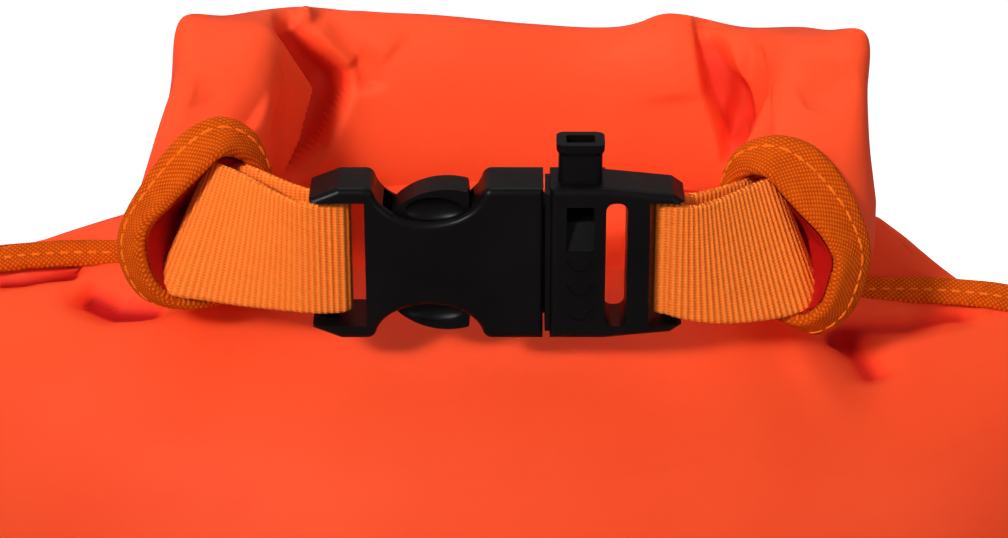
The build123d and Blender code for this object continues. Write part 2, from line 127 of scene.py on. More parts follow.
def make_stage():
    """A pale floor, a white surround and three soft lights."""
    scene = bpy.context.scene
    scene.view_settings.view_transform = "Standard"
    world = bpy.data.worlds.new("surround")
    scene.world = world
    world.use_nodes = True
    world.node_tree.nodes["Background"].inputs["Color"].default_value = (1, 1, 1, 1)
    world.node_tree.nodes["Background"].inputs["Strength"].default_value = WORLD_STRENGTH
    mesh = bpy.data.meshes.new("floor")
    reach = FLOOR_REACH
    mesh.from_pydata(
        [(-reach, -reach, 0), (reach, -reach, 0), (reach, reach, 0), (-reach, reach, 0)],
        [],
        [(0, 1, 2, 3)],
    )
    floor = bpy.data.objects.new("floor", mesh)
    bpy.context.collection.objects.link(floor)
    floor.data.materials.append(floor_material())
    floor.visible_diffuse = False  # a backdrop that doesn't light the bag from below
    floor.visible_glossy = False
    for light in LIGHTS:
        area_light(*light)


# ------------------------------------------------------------------ materials


def new_material(name):
    material = bpy.data.materials.new(name)
    material.use_nodes = True
    tree = material.node_tree
    shader = tree.nodes["Principled BSDF"]
    return material, tree, shader


def add_node(tree, kind, **settings):
    node = tree.nodes.new(kind)
    for key, value in settings.items():
        if key.startswith("in_"):
            node.inputs[key[3:].replace("_", " ")].default_value = value
        else:
            setattr(node, key, value)
    return node


def math_node(tree, operation, first, second=None, third=None):
    """One Math node; each operand is a number or another node's output."""
    node = tree.nodes.new("ShaderNodeMath")
    node.operation = operation
    for slot, operand in enumerate((first, second, third)):
        if operand is None:
            continue
        if isinstance(operand, (int, float)):
            node.inputs[slot].default_value = operand
        else:
            tree.links.new(operand, node.inputs[slot])
    return node.outputs[0]


def object_noise(tree, scale, detail=3.0):
    place = add_node(tree, "ShaderNodeTexCoord")
    noise = add_node(tree, "ShaderNodeTexNoise", in_Scale=scale, in_Detail=detail)
    tree.links.new(place.outputs["Object"], noise.inputs["Vector"])
    return noise.outputs["Fac"]


def colour_ramp(tree, factor, stops):
    ramp = tree.nodes.new("ShaderNodeValToRGB")
    elements = ramp.color_ramp.elements
    while len(elements) < len(stops):
        elements.new(0.5)
    for element, (position, colour) in zip(elements, stops):
        element.position = position
        element.color = (*colour, 1)
    tree.links.new(factor, ramp.inputs["Fac"])
    return ramp.outputs["Color"]


def add_bump(tree, shader, height, strength, distance):
    bump = add_node(tree, "ShaderNodeBump", in_Strength=strength, in_Distance=distance)
    tree.links.new(height, bump.inputs["Height"])
    tree.links.new(bump.outputs["Normal"], shader.inputs["Normal"])


def floor_material():
    material, tree, shader = new_material("pale_floor")
    shader.inputs["Base Color"].default_value = (0.93, 0.93, 0.93, 1)
    shader.inputs["Roughness"].default_value = 0.9
    shader.inputs["Specular IOR Level"].default_value = 0.0
    shader.inputs["Emission Color"].default_value = (1, 1, 1, 1)
    shader.inputs["Emission Strength"].default_value = FLOOR_GLOW
    return material


# painted shade: light that has met the fabric more than once is redder, and deep in a fold there is little
# of it, so the folds get a redder, darker colour painted into the fabric
PAINTED_FOLD_SHADE_RED = (0.85, 0.020, 0.010)
PAINTED_FOLD_SHADE_DARK = (0.42, 0.002, 0.001)


def fabric_material(name="coated_fabric", inside=False):
    """Coated woven fabric: an even orange-red with a faint cloth grain, and painted shade, a purer and
    darker red, in its folds.
    """
    material, tree, shader = new_material(name)
    patches = object_noise(tree, 26.0)
    # painted shade: the inside of the curl is a darker copy of the same fabric
    if inside:
        stops = [(0.3, (0.44, 0.005, 0.004)), (0.7, (0.52, 0.009, 0.006))]
    else:
        stops = [(0.3, (0.96, 0.072, 0.018)), (0.7, (1.0, 0.086, 0.023))]
    # painted shade: the base colour is mixed towards the fold shade colours by how deep in a fold a point
    # lies
    fold = add_node(tree, "ShaderNodeAttribute", attribute_name="fold")
    mix = add_node(tree, "ShaderNodeMix", data_type="RGBA")
    folded = colour_ramp(tree, fold.outputs["Fac"], [(0.5, PAINTED_FOLD_SHADE_RED), (1.0, PAINTED_FOLD_SHADE_DARK)])
    tree.links.new(folded, mix.inputs["B"])
    tree.links.new(fold.outputs["Fac"], mix.inputs["Factor"])
    tree.links.new(colour_ramp(tree, patches, stops), mix.inputs["A"])
    tree.links.new(mix.outputs["Result"], shader.inputs["Base Color"])
    shader.inputs["Roughness"].default_value = 0.58
    shader.inputs["Specular IOR Level"].default_value = 0.10
    grain = math_node(
        tree,
        "MULTIPLY_ADD",
        object_noise(tree, 2200.0, 2.0),
        0.6,
        math_node(tree, "MULTIPLY", object_noise(tree, 160.0, 4.0), 0.8),
    )
    add_bump(tree, shader, grain, 0.10, 0.0004)
    return material


def weave_coordinates(tree):
    """Distance along a tape and across it, in millimetres, as its mesh stores them."""
    attribute = add_node(tree, "ShaderNodeAttribute", attribute_name="weave")
    split = tree.nodes.new("ShaderNodeSeparateXYZ")
    tree.links.new(attribute.outputs["Vector"], split.inputs["Vector"])
    return split.outputs["X"], split.outputs["Y"]


def wave(tree, coordinate, pitch, phase=0.0):
    """A sine of the coordinate with this pitch in millimetres, from 0 to 1."""
    angle = math_node(tree, "MULTIPLY_ADD", coordinate, 2 * pi / pitch, phase)
    return math_node(tree, "MULTIPLY_ADD", math_node(tree, "SINE", angle), 0.5, 0.5)


def tape_material():
    """Twill-woven binding tape: small slanted knots, darker in the gaps."""
    material, tree, shader = new_material("binding_twill")
    along, across = weave_coordinates(tree)
    slant = math_node(tree, "MULTIPLY_ADD", across, 1.0, along)
    counter = math_node(tree, "MULTIPLY_ADD", across, -1.4, along)
    knots = math_node(tree, "MULTIPLY", wave(tree, slant, 1.05), wave(tree, counter, 1.25))
    worn = math_node(tree, "MULTIPLY_ADD", object_noise(tree, 420.0), 0.5, knots)
    stops = [(0.15, (0.46, 0.042, 0.001)), (0.55, (0.66, 0.085, 0.002)), (1.0, (0.86, 0.15, 0.006))]
    tree.links.new(colour_ramp(tree, worn, stops), shader.inputs["Base Color"])
    shader.inputs["Roughness"].default_value = 0.82
    shader.inputs["Specular IOR Level"].default_value = 0.04
    add_bump(tree, shader, knots, 0.6, 0.0003)
    return material


def webbing_material():
    """Flat-woven webbing: ribs across the strap, each made of small knots."""
    material, tree, shader = new_material("ribbed_webbing")
    along, across = weave_coordinates(tree)
    rib = wave(tree, along, 1.22)
    knot = wave(tree, math_node(tree, "MULTIPLY_ADD", along, 0.18, across), 0.62)
    fine = wave(tree, across, 0.31, 1.2)
    height = math_node(
        tree,
        "MULTIPLY_ADD",
        rib,
        0.75,
        math_node(tree, "MULTIPLY_ADD", knot, 0.45, math_node(tree, "MULTIPLY", fine, 0.12)),
    )
    shade = math_node(tree, "MULTIPLY_ADD", object_noise(tree, 300.0), 0.35, height)
    stops = [(0.15, (0.84, 0.105, 0.007)), (0.6, (0.97, 0.180, 0.018)), (1.0, (1.0, 0.24, 0.034))]
    tree.links.new(colour_ramp(tree, shade, stops), shader.inputs["Base Color"])
    shader.inputs["Roughness"].default_value = 0.7
    shader.inputs["Specular IOR Level"].default_value = 0.06
    add_bump(tree, shader, height, 0.6, 0.0003)
    return material


def thread_material():
    material, tree, shader = new_material("sewing_thread")
    stops = [(0.3, (0.88, 0.150, 0.006)), (0.7, (0.96, 0.20, 0.012))]
    tree.links.new(colour_ramp(tree, object_noise(tree, 900.0), stops), shader.inputs["Base Color"])
    shader.inputs["Roughness"].default_value = 0.75
    shader.inputs["Specular IOR Level"].default_value = 0.05
    add_bump(tree, shader, object_noise(tree, 3000.0), 0.3, 0.0002)
    return material


def buckle_material():
    """Moulded black acetal: near black, a soft satin with faint mould grain."""
    material, tree, shader = new_material("black_acetal")
    stops = [(0.3, (0.0026, 0.0020, 0.0021)), (0.7, (0.0046, 0.0036, 0.0038))]
    tree.links.new(colour_ramp(tree, object_noise(tree, 70.0), stops), shader.inputs["Base Color"])
    rough = math_node(tree, "MULTIPLY_ADD", object_noise(tree, 240.0), 0.12, 0.30)
    tree.links.new(rough, shader.inputs["Roughness"])
    shader.inputs["Specular IOR Level"].default_value = 0.11
    add_bump(tree, shader, object_noise(tree, 1500.0, 2.0), 0.08, 0.0002)
    return material


def plastic_strip_material():
    material, tree, shader = new_material("strip_plastic")
    stops = [(0.3, (0.03, 0.03, 0.03)), (0.7, (0.05, 0.05, 0.05))]
    tree.links.new(colour_ramp(tree, object_noise(tree, 200.0), stops), shader.inputs["Base Color"])
    shader.inputs["Roughness"].default_value = 0.5
    return material


MATERIALS = {}


def use_material(name):
    makers = {
        "fabric": fabric_material,
        "painted_shade_lining": lambda: fabric_material("fabric_inside_painted_shade", inside=True),
        "tape": tape_material,
        "webbing": webbing_material,
        "thread": thread_material,
        "buckle": buckle_material,
        "strip": plastic_strip_material,
    }
    if name not in MATERIALS:
        MATERIALS[name] = makers[name]()
    return MATERIALS[name]


# ------------------------------------------------------------------ mesh tools


def smooth_rows(rows, count):
    """Rows of numbers turned into count rows on a smooth curve through them (Catmull-Rom)."""
    rows = np.array(rows, float)
    padded = np.vstack([2 * rows[0] - rows[1], rows, 2 * rows[-1] - rows[-2]])
    positions = np.linspace(0, len(rows) - 1, count)
    start = np.minimum(positions.astype(int), len(rows) - 2)
    t = (positions - start)[:, None]
    a, b, c, d = (padded[start + k] for k in range(4))
    return 0.5 * (
        2 * b + (c - a) * t + (2 * a - 5 * b + 4 * c - d) * t**2 + (3 * b - a - 3 * c + d) * t**3
    )


def grid_normals(grid, closed):
    """Unit normals of a grid of points, rows by columns."""
    if closed:
        across = np.roll(grid, -1, 1) - np.roll(grid, 1, 1)
    else:
        across = np.gradient(grid, axis=1)
    along = np.gradient(grid, axis=0)
    normal = np.cross(along, across)
    return normal / np.maximum(np.linalg.norm(normal, axis=2, keepdims=True), 1e-9)


def grid_object(name, grid, material, body, closed=False, weave=None, fold=None, flip=False):
    """A smooth mesh over a grid of points in millimetres; fold is how much painted fold shade each point
    gets.
    """
    rows, columns = grid.shape[:2]
    last = columns if closed else columns - 1
    faces = []
    for row in range(rows - 1):
        for column in range(last):
            after = (column + 1) % columns
            face = (
                row * columns + column,
                row * columns + after,
                (row + 1) * columns + after,
                (row + 1) * columns + column,
            )
            faces.append(face[::-1] if flip else face)
    mesh = bpy.data.meshes.new(name)
    mesh.from_pydata((grid.reshape(-1, 3) / METRE).tolist(), [], faces)
    if weave is not None:
        attribute = mesh.attributes.new("weave", "FLOAT_VECTOR", "POINT")
        flat = np.concatenate([weave.reshape(-1, 2), np.zeros((rows * columns, 1))], axis=1)
        attribute.data.foreach_set("vector", flat.ravel())
    if fold is not None:
        attribute = mesh.attributes.new("fold", "FLOAT", "POINT")
        attribute.data.foreach_set("value", fold.ravel())
    mesh.polygons.foreach_set("use_smooth", [True] * len(mesh.polygons))
    mesh.update()
    piece = bpy.data.objects.new(name, mesh)
    bpy.context.collection.objects.link(piece)
    mesh.materials.append(use_material(material))
    if body:
        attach(piece, body)
    return piece


def near_path(points, path):
    """Distance of each point from a broken line, and how far along the line it is, 0 to 1."""
    path = np.array(path, float)
    best = np.full(points.shape[:-1], 1e9)
    place = np.zeros(points.shape[:-1])
    pieces = len(path) - 1
    for index in range(pieces):
        start, leg = path[index], path[index + 1] - path[index]
        share = np.clip(((points - start) @ leg) / (leg @ leg), 0, 1)
        distance = np.linalg.norm(points - (start + share[..., None] * leg), axis=-1)
        closer = distance < best
        best = np.where(closer, distance, best)
        place = np.where(closer, (index + share) / pieces, place)
    return best, place


def crease(grid, normals, path, width, depth, fade=0.18):
    """Pushes the grid in (or out, with a negative depth) along a broken line in space."""
    distance, place = near_path(grid, path)
    ends = np.clip(np.minimum(place, 1 - place) / max(fade, 1e-6), 0, 1)
    ends = ends * ends * (3 - 2 * ends)
    amount = depth * np.exp(-((distance / width) ** 2)) * (0.25 + 0.75 * ends)
    return grid - normals * amount[..., None]


def seen_path(grid, normals, path):
    """A path drawn on the front: distance from it, place along it, signed distance to its right."""
    flat = grid[..., [0, 2]]
    path = np.array(path, float)[:, :2]
    distance, place = near_path(flat, path)
    steps = np.linspace(0, 1, len(path))
    ahead = np.gradient(path, axis=0)
    aside = [flat[..., axis] - np.interp(place, steps, path[:, axis]) for axis in (0, 1)]
    leg = [np.interp(place, steps, ahead[:, axis]) for axis in (0, 1)]
    right = distance * np.sign(leg[0] * aside[1] - leg[1] * aside[0])
    in_front = smoothstep(-normals[..., 1], -0.2, 0.25)
    return distance, place, right, in_front * smoothstep(np.minimum(place, 1 - place), 0.0, 0.10)


def valley(grid, normals, path, width, depth):
    """A soft valley (or a ridge, with a negative depth) drawn on the front, from points x, z."""
    distance, _, _, weight = seen_path(grid, normals, path)
    return grid - normals * (depth * weight * np.exp(-((distance / width) ** 2)))[..., None]


def tuck(grid, normals, path, hangs):
    """A pocket under a fold that hangs over it from one side; points of x, z, width and depth."""
    _, place, right, weight = seen_path(grid, normals, path)
    steps = np.linspace(0, 1, len(path))
    width, depth = (np.interp(place, steps, column) for column in np.array(path, float).T[2:])
    into = right if hangs == "left" else -right
    step = smoothstep(into, -0.8, 0.8) * (1 - smoothstep(into / width, 0.55, 1.0))
    return grid - normals * (depth * step * weight)[..., None]


SLIGHT_DENT = 2.0  # millimetres; a shallower dent gets no painted shade


def painted_fold_shade(before, after, normals, full, most=1.0):
    """How much painted shade each point gets from how deep in a fold it lies: 0 for a slight dent, and most
    at the depth called full.
    """
    pushed = ((before - after) * normals).sum(-1)
    return most * np.clip((pushed - SLIGHT_DENT) / (full - SLIGHT_DENT), 0, 1)


def pull(grid, centre, reach, shift):
    """Moves the points near a place, and less those further away."""
    distance = np.linalg.norm(grid - np.array(centre), axis=-1)
    return grid + np.exp(-((distance / reach) ** 2))[..., None] * np.array(shift)


def smoothstep(value, low, high):
    share = np.clip((value - low) / (high - low), 0, 1)
    return share * share * (3 - 2 * share)


def soft_noise(points, scale, seed):
    """A smooth, repeatable sum of sines in space, about -1 to 1."""
    random = np.random.default_rng(seed)
    total = np.zeros(points.shape[:-1])
    for _ in range(7):
        direction = random.normal(size=3)
        direction /= np.linalg.norm(direction)
        turn = random.uniform(0, 2 * pi)
        total += np.sin(points @ direction * 2 * pi / (scale * random.uniform(0.7, 1.6)) + turn)
    return total / 4.0


# ------------------------------------------------------------------ rolled mouth

# x, y, z, heading in degrees, half thickness, half height, and how far the top leans inwards
ROLL = [
    (-63.3, -31.0, 410.2, 110.6, 15.2, 20.0, 0.0),
    (-63.0, -24.0, 412.2, 106.0, 13.8, 21.4, 5.0),
    (-62.8, -13.0, 417.0, 94.0, 12.6, 24.0, 7.6),
    (-61.4, -3.0, 420.2, 76.0, 13.0, 24.6, 7.4),
    (-53.8, 6.4, 421.8, 40.0, 12.6, 23.2, 3.0),
    (-43.6, 13.4, 421.9, 18.0, 10.8, 22.6, 1.5),
    (-30.0, 17.0, 420.6, 3.0, 8.9, 21.4, 0.0),
    (-14.0, 17.5, 420.2, 0.0, 8.8, 20.8, 0.0),
    (6.0, 17.5, 419.4, 0.0, 8.6, 20.0, 0.0),
    (26.0, 17.4, 419.2, -2.0, 8.6, 19.8, 0.0),
    (40.0, 16.2, 420.4, -10.0, 9.0, 21.8, 0.0),
    (54.0, 12.4, 419.0, -26.0, 9.8, 20.8, 0.0),
    (65.0, 4.6, 419.0, -50.0, 11.4, 22.2, 0.6),
    (69.4, -6.5, 417.2, -82.0, 11.8, 23.6, 1.6),
    (67.2, -20.0, 411.0, -101.0, 13.8, 22.0, 1.2),
    (63.4, -31.0, 405.6, -110.6, 15.0, 20.4, 0.0),
]
INNER_SQUARENESS = 2.4
ROLL_ALONG = 320
ROLL_ROUND = 132
EAR_JOIN = 0.105  # share of the roll's length over which it takes the shape of its curled end
EAR_CENTRES = {"left": (-63.3, -31.0, 409.5), "right": (63.3, -31.0, 405.6)}
EAR_INSET = 0.955  # the roll's end lies just inside the tape
EAR_GAP_STEPS = 60
EAR_GAP_BULGE = 3.0
ARM_SQUARER = 3.6  # how much squarer the roll's outer side is where it runs forward


def section_ring(half_thick, half_height, squareness):
    """One turn round the roll's section, outwards and up, squarer on its outer side."""
    angle = np.linspace(0, 2 * pi, ROLL_ROUND, endpoint=False)
    power = 2 / np.where(np.cos(angle) > 0, squareness, INNER_SQUARENESS)
    out = np.sign(np.cos(angle)) * np.abs(np.cos(angle)) ** power * half_thick
    up = np.sign(np.sin(angle)) * np.abs(np.sin(angle)) ** power * half_height
    return out, up


def ear_ring(side, out_axis, out, up):
    """The closed edge of a curled end, with one point for each direction of the section ring."""
    edge = smooth_rows(EAR_EDGES[side][0], 400)
    # the tape starts and ends on the inner side, and the ring closes between them
    gap = edge[-1] + (edge[0] - edge[-1]) * np.linspace(0, 1, EAR_GAP_STEPS)[1:-1, None]
    inner = -1 if side == "right" else 1
    gap[:, 0] += inner * EAR_GAP_BULGE * np.sin(np.linspace(0, pi, len(gap)))
    edge = np.vstack([edge, gap])
    centre = np.array(EAR_CENTRES[side])
    polar = np.arctan2(edge[:, 2] - centre[2], (edge - centre) @ out_axis)
    order = np.argsort(polar)
    wanted = np.arctan2(up, out)
    ring = [np.interp(wanted, polar[order], edge[order, axis], period=2 * pi) for axis in range(3)]
    return centre + (np.stack(ring, axis=1) - centre) * EAR_INSET


def roll_grid():
    """Points over the whole roll, from the left ear to the right ear."""
    rows = smooth_rows(ROLL, ROLL_ALONG)
    grid = np.zeros((ROLL_ALONG, ROLL_ROUND, 3))
    for index, (x, y, z, heading, half_thick, half_height, lean) in enumerate(rows):
        turn = radians(heading)
        outward = np.array([-sin(turn), cos(turn), 0])
        share = index / (ROLL_ALONG - 1)
        arm = smoothstep(abs(share - 0.5), 0.18, 0.36)
        out, up = section_ring(half_thick, half_height, INNER_SQUARENESS + ARM_SQUARER * arm)
        leaned = out - lean * np.maximum(up, 0) / half_height
        grid[index] = np.array([x, y, z]) + leaned[:, None] * outward + up[:, None] * [0, 0, 1]
        to_end = min(share, 1 - share)
        if to_end < EAR_JOIN:
            side = "left" if share < 0.5 else "right"
            ring = ear_ring(side, outward, out, up)
            end = np.array(ROLL[0 if side == "left" else -1][:3])
            carried = ring + (np.array([x, y, z]) - end)
            weight = 1 - smoothstep(to_end, 0.0, EAR_JOIN)
            grid[index] += (carried - grid[index]) * weight
    return grid


def shape_roll(grid):
    """The folds where the roll bends at its two corners, small unevenness, and how much painted shade each
    point gets in the folds.
    """
    pulls = [
        # the two upper corners stand out, and the arms' sides are flat below them
        ((-67.0, -4.0, 441.0), 7.0, (-1.6, 0.0, 4.6)),
        ((-75.0, -14.0, 425.0), 12.0, (1.5, 0.0, 0.0)),
        ((79.0, -4.0, 438.0), 7.0, (1.8, 0.0, 4.2)),
        ((82.0, -10.0, 421.0), 13.0, (-1.7, 0.0, 0.0)),
    ]
    for centre, reach, shift in pulls:
        grid = pull(grid, centre, reach, shift)
    normals = -grid_normals(grid, closed=True)
    tucks = [
        # points x, z and the pocket's width and depth, then the side that hangs over it
        (
            [
                (-49.5, 446.0, 3.4, 2.0),
                (-45.6, 440.0, 6.0, 5.5),
                (-42.4, 434.0, 7.0, 7.5),
                (-39.6, 428.5, 9.0, 9.0),
                (-42.8, 417.0, 7.0, 8.0),
                (-48.0, 407.0, 3.0, 3.0),
            ],
            "left",
        ),
        (
            [
                (43.5, 443.0, 3.0, 1.0),
                (44.2, 437.0, 7.5, 4.0),
                (45.6, 427.5, 9.0, 5.0),
                (49.2, 417.0, 7.0, 4.6),
                (50.2, 409.0, 3.0, 2.4),
            ],
            "left",
        ),
        (
            [
                (57.8, 440.0, 3.0, 0.8),
                (58.0, 433.0, 6.0, 2.6),
                (57.6, 424.0, 7.5, 3.0),
                (54.2, 418.5, 5.0, 2.4),
                (50.0, 414.0, 2.5, 1.0),
            ],
            "right",
        ),
    ]
    valleys = [
        # points x and z, then width and depth
        ([(-41.5, 445), (-34.5, 438), (-29.4, 432), (-28.4, 426.0)], 3.0, 2.6),
        ([(-64.5, 431.5), (-58.0, 430.5), (-50.0, 427.0)], 4.2, 1.8),
        ([(75.5, 438.0), (70.5, 434.5), (65.5, 430.5)], 2.8, 2.2),
        # rounded ridges beside the folds
        ([(-45.0, 446), (-38.0, 438), (-32.0, 431.5)], 2.4, -1.6),
        ([(-36.0, 446), (-29.0, 440), (-23.0, 434)], 5.0, -1.0),
        ([(36.0, 445), (37.5, 436), (39.5, 424)], 6.0, -1.2),
    ]
    flat = grid
    for path, hangs in tucks:
        grid = tuck(grid, normals, path, hangs)
    for path, width, depth in valleys:
        grid = valley(grid, normals, path, width, depth)
    # painted shade for the roll's folds, at most three quarters of the darkest
    fold = painted_fold_shade(flat, grid, normals, FULL_FOLD, most=0.75)
    return grid + normals * (soft_noise(grid, 60.0, 3) * 0.45)[..., None], fold


def make_roll():
    grid, fold = shape_roll(roll_grid())
    middle = ROLL_ALONG // 2
    halves = (("left", slice(0, middle + 1)), ("right", slice(middle, ROLL_ALONG)))
    left, right = (
        grid_object("roll_fabric_" + side, grid[rows], "fabric", None, closed=True, fold=fold[rows])
        for side, rows in halves
    )
    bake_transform(left)
    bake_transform(right)
    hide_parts("roll_middle", "roll_end_left")
    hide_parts("roll_middle", "roll_end_right")


# ------------------------------------------------------------------ filled body

# height, half width and half depth of the filled bag
LEVELS = [
    (1.2, 134.5, 68.5),
    (6.0, 138.4, 71.4),
    (18.0, 140.0, 72.5),
    (110.0, 140.0, 72.5),
    (220.0, 140.0, 72.5),
    (300.0, 140.0, 72.5),
    (325.0, 140.0, 71.0),
    (347.0, 139.4, 64.5),
    (366.0, 137.0, 53.0),
    (380.0, 131.0, 36.5),
    (388.0, 120.0, 19.0),
    (391.5, 104.0, 9.0),
]
BODY_ROWS = 230
BODY_COLUMNS = 220
NECK_ROWS = 26
NECK_TOP = 409.0  # hidden inside the roll
NECK_HALF_WIDTH = 68.0
NECK_HALF_DEPTH = 6.5
ROLL_BACK = 17.5  # how far behind the seam the roll's middle line runs
SHOULDER_DROP = 8.6
FULL_FOLD = 4.4  # millimetres; a fold this deep gets the darkest, reddest painted shade


def neck_line(x):
    """How far back the roll's middle line lies at this x, in front of which the panel rises."""
    return ROLL_BACK - ROLL_BACK * smoothstep(np.abs(x), 40.0, 78.0)


def body_grid(side):
    """Front (side -1) or back (side +1) panel, from the base up into the roll."""
    rows = smooth_rows(LEVELS, BODY_ROWS)
    angle = np.linspace(-pi / 2, pi / 2, BODY_COLUMNS)
    grid = np.zeros((BODY_ROWS + NECK_ROWS, BODY_COLUMNS, 3))
    for index, (z, half_x, half_y) in enumerate(rows):
        grid[index, :, 0] = half_x * np.sin(angle)
        grid[index, :, 1] = side * half_y * np.cos(angle)
        grid[index, :, 2] = z
    top = grid[BODY_ROWS - 1]
    goal_x = NECK_HALF_WIDTH * np.sin(angle)
    goal_y = neck_line(goal_x) + side * NECK_HALF_DEPTH * np.cos(angle) ** 0.6
    goal = np.stack([goal_x, goal_y, np.full(len(angle), NECK_TOP)], axis=1)
    for step in range(NECK_ROWS):
        share = (step + 1) / NECK_ROWS
        inwards = 1 - (1 - share) ** 2.6
        upwards = share**2.4
        point = top + (goal - top) * inwards
        point[:, 2] = top[:, 2] + (goal[:, 2] - top[:, 2]) * upwards
        grid[BODY_ROWS + step] = point
    return grid


def lower_right(grid):
    """The right shoulder sits lower than the left one."""
    drop = SHOULDER_DROP * smoothstep(grid[..., 0], 40.0, 84.0) * smoothstep(grid[..., 2], 330.0, 390.0)
    grid[..., 2] -= drop
    return grid


# x, and how far the back panel stands above the seam just behind it
BACK_SHOULDER = [
    (-118.0, 0.5), (-110.0, 2.0), (-102.0, 3.0), (-90.0, 6.0), (-82.0, 8.0), (-70.0, 9.0),
    (70.0, 14.0), (80.0, 17.0), (86.0, 15.5), (92.0, 11.5), (99.0, 6.0), (105.0, 1.5), (112.0, 0.0),
]


def raise_back(grid):
    """The filled back panel shows over the seam, most of all beside the roll."""
    x, height = np.array(BACK_SHOULDER).T
    rise = np.interp(grid[..., 0], x, height)
    near_seam = np.exp(-(((grid[..., 1] - 9.0) / 7.5) ** 2)) * smoothstep(grid[..., 2], 372.0, 384.0)
    grid[..., 2] += rise * near_seam * smoothstep(grid[..., 1], 0.0, 6.0)
    return grid


# points x, y and z, then width and depth; a negative depth is a ridge
FRONT_FOLDS = [
    # left shoulder: below the curl, beside the side seam, and the ridge in front of them
    (
        [(-93, -12, 388.6), (-88, -15, 387), (-83, -18, 385.6), (-77, -18.5, 385.4), (-70, -18, 385.6)],
        4.5,
        5,
    ),
    ([(-116, -5, 388.5), (-105, -6.5, 389.6), (-97, -5.5, 390.6), (-91, -4.5, 391)], 3.6, 4.4),
    ([(-125, -40, 372), (-93, -36, 382), (-74, -28, 388), (-60, -26, 390)], 8.0, -3.0),
    # right shoulder: the ridge, beside the side seam, and below the curl
    ([(62, -24, 388), (68, -32, 383), (74, -42, 377)], 5.0, -2.4),
    (
        [(70, -15, 388), (82.6, -12, 388.6), (91, -11, 388.6), (100, -7, 389.6), (110, -5, 388)],
        4.5,
        4.0,
    ),
    (
        [(70, -15.5, 388), (76, -18, 386.2), (79, -21, 384.4), (81, -25, 382.2), (83, -29, 379.5)],
        5.0,
        4.2,
    ),
    # below the roll, and slight ones further down
    ([(-30, -8, 396), (0, -8, 397), (34, -8, 396)], 9.0, 2.0),
    ([(-120, -60, 300), (-60, -74, 296), (20, -78, 300)], 16.0, 1.4),
    ([(30, -76, 180), (90, -66, 176), (130, -40, 184)], 14.0, 1.6),
    ([(-130, -40, 120), (-70, -70, 110), (-10, -78, 116)], 18.0, 1.6),
    ([(-134, -30, 42), (-80, -64, 30), (0, -74, 24), (90, -60, 32)], 10.0, 1.8),
]
BACK_FOLDS = [
    ([(-110, 60, 300), (-30, 78, 310), (60, 74, 300)], 16.0, 1.6),
    ([(-60, 66, 350), (-40, 72, 320), (-34, 76, 280)], 10.0, 1.5),
    ([(70, 60, 352), (56, 70, 320), (52, 76, 270)], 10.0, 1.5),
    ([(-126, 40, 110), (-40, 76, 120), (60, 74, 108)], 17.0, 1.6),
    ([(-130, 34, 36), (-60, 68, 26), (40, 72, 28), (120, 44, 34)], 10.0, 1.8),
]


def make_body():
    """Both panels; each keeps its own edge, which the binding covers."""
    for name, side, folds in (("front_panel", -1, FRONT_FOLDS), ("back_panel", 1, BACK_FOLDS)):
        grid = body_grid(side)
        normals = grid_normals(grid, closed=False) * (1 if side < 0 else -1)
        normals[:, [0, -1]] = normals[:, [1, -2]]
        outward = np.sign((normals[..., 1] * side).mean())
        normals = normals * outward
        aside = np.abs(grid[..., 0])
        # nothing moves the sewn edge
        inside = smoothstep(aside / np.maximum(aside.max(1), 1)[:, None], 1.0, 0.97)
        flat = grid
        for path, width, depth in folds:
            grid = crease(grid, normals, path, width, depth)
        # only the front has folds deep enough for painted shade
        fold = painted_fold_shade(flat, grid, normals, FULL_FOLD) if side < 0 else None
        rumple = soft_noise(grid, 120.0, 11 + side) * 1.1 + soft_noise(grid, 45.0, 5 + side) * 0.25
        grid = grid + normals * (rumple * inside)[..., None]
        grid = lower_right(grid)
        if side > 0:
            grid = raise_back(grid)
        piece = grid_object(name + "_fabric", grid, "fabric", "bag", fold=fold, flip=side > 0)
        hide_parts(name)


# ------------------------------------------------------------------ tapes and straps


def strap_grid(low, high, thick, half_columns, edge_round=0.5):
    """A closed flat band between two edge curves, with rounded edges, and its weave coordinates."""
    count = len(low)
    middle = (low + high) / 2
    along = np.gradient(middle, axis=0)
    along /= np.linalg.norm(along, axis=1, keepdims=True)
    across = high - low
    width = np.linalg.norm(across, axis=1, keepdims=True)
    across = across / width
    normal = np.cross(along, across)
    normal /= np.linalg.norm(normal, axis=1, keepdims=True)
    share = np.linspace(0, 1, half_columns)
    profile = [(position, 1.0) for position in share]
    profile += [(position, -1.0) for position in share[::-1]]
    columns = len(profile)
    grid = np.zeros((count, columns, 3))
    weave = np.zeros((count, columns, 2))
    length = np.concatenate([[0], np.cumsum(np.linalg.norm(np.diff(middle, axis=0), axis=1))])
    for column, (position, face) in enumerate(profile):
        edge = min(position, 1 - position) * width[:, 0]
        rounding = np.sqrt(np.clip(1 - (1 - np.clip(edge / (thick * edge_round), 0, 1)) ** 2, 0, 1))
        offset = face * thick / 2 * (0.15 + 0.85 * rounding)
        grid[:, column] = low + across * width * position + normal * offset[:, None]
        weave[:, column, 0] = length
        weave[:, column, 1] = position * width[:, 0]
    return grid, weave, normal


def cap_ends(piece, rows, columns):
    """Closes the two ends of a tube-like grid."""
    work = bmesh.new()
    work.from_mesh(piece.data)
    work.verts.ensure_lookup_table()
    for row in (0, rows - 1):
        ring = [work.verts[row * columns + column] for column in range(columns)]
        work.faces.new(ring)
    bmesh.ops.recalc_face_normals(work, faces=work.faces)
    work.to_mesh(piece.data)
    work.free()


def make_band(name, low, high, thick, material, body, half_columns=14, edge_round=0.5):
    grid, weave, normal = strap_grid(low, high, thick, half_columns, edge_round)
    piece = grid_object(name, grid, material, None, closed=True, weave=weave)
    cap_ends(piece, grid.shape[0], grid.shape[1])
    if body:
        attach(piece, body)
    return piece, normal


